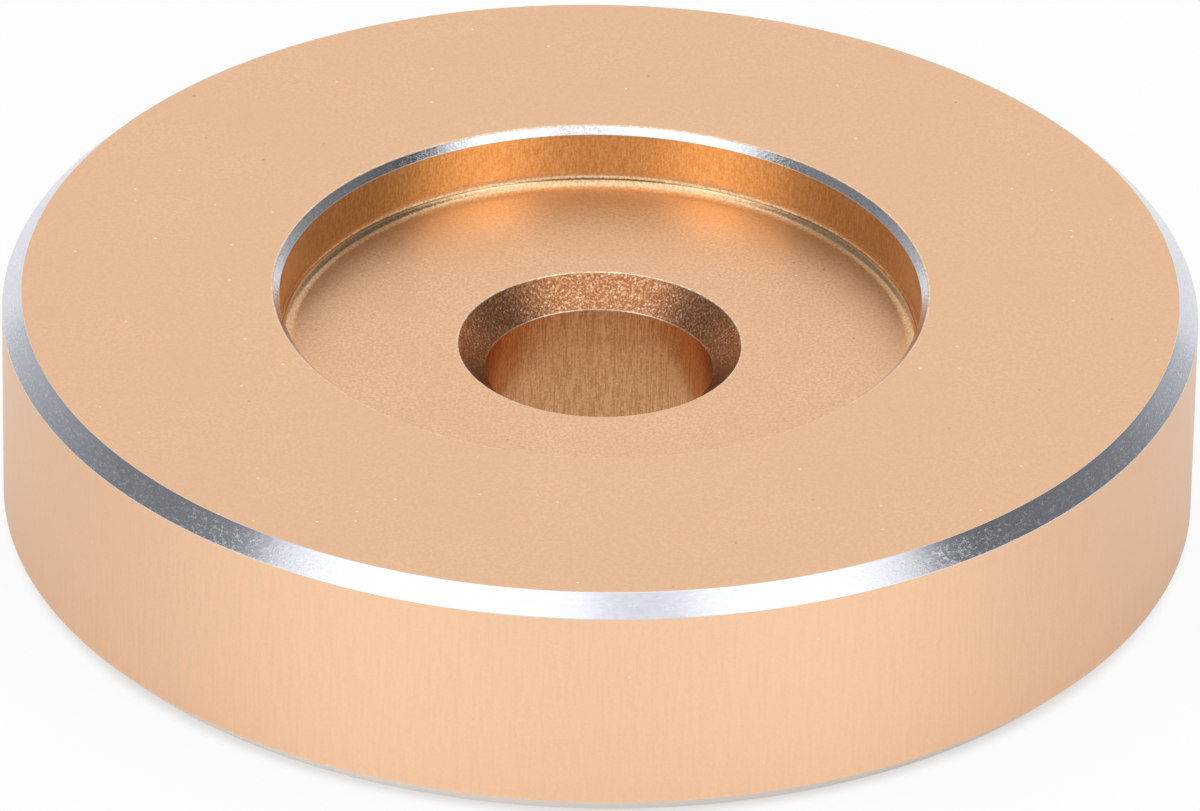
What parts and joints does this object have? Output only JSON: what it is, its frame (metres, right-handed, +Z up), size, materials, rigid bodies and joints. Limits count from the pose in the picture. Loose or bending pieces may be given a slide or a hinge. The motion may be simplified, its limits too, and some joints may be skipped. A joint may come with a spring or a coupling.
{
  "type": "record spindle adapter",
  "caption": "Turned aluminium disc that centres a large-hole 45 rpm record on a thin turntable spindle, with a recessed top and a countersunk bore.",
  "frame": {"origin": "centre of the underside, on the axis of the spindle hole", "axes": "+Z up along the spindle hole, out of the recessed top face"},
  "size_m": [0.038, 0.038, 0.0078],
  "materials": {
    "gold_anodised": "bead-blasted and anodised champagne gold, with bright-cut chamfers"
  },
  "bodies": {
    "root": {"adapter": "gold_anodised"}
  },
  "joints": []
}
